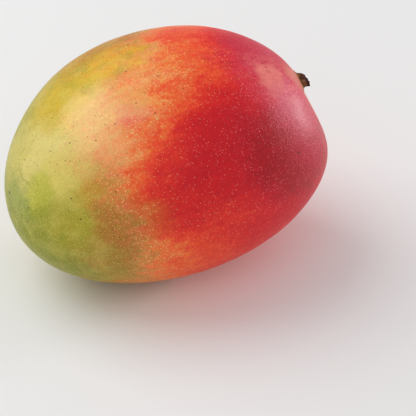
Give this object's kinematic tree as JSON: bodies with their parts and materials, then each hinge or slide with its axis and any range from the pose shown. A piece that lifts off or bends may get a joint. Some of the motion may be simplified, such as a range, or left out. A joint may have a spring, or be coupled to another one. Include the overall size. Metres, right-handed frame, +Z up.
{
  "type": "mango",
  "caption": "Whole ripe mango, a smooth egg-shaped fruit lying on its side, with the short broken stub of its stalk.",
  "frame": {"origin": "on the surface that the fruit rests on, under the middle of its bounding box", "axes": "+X along the fruit towards the stalk end, +Z up, +Y across the fruit"},
  "size_m": [0.1238, 0.0962, 0.0888],
  "materials": {
    "mango_skin": "smooth waxy skin with a satin sheen",
    "stalk_bark": "rough dry bark with a dark broken end"
  },
  "bodies": {
    "root": {"fruit": "mango_skin", "stem_stub": "stalk_bark"}
  },
  "joints": []
}
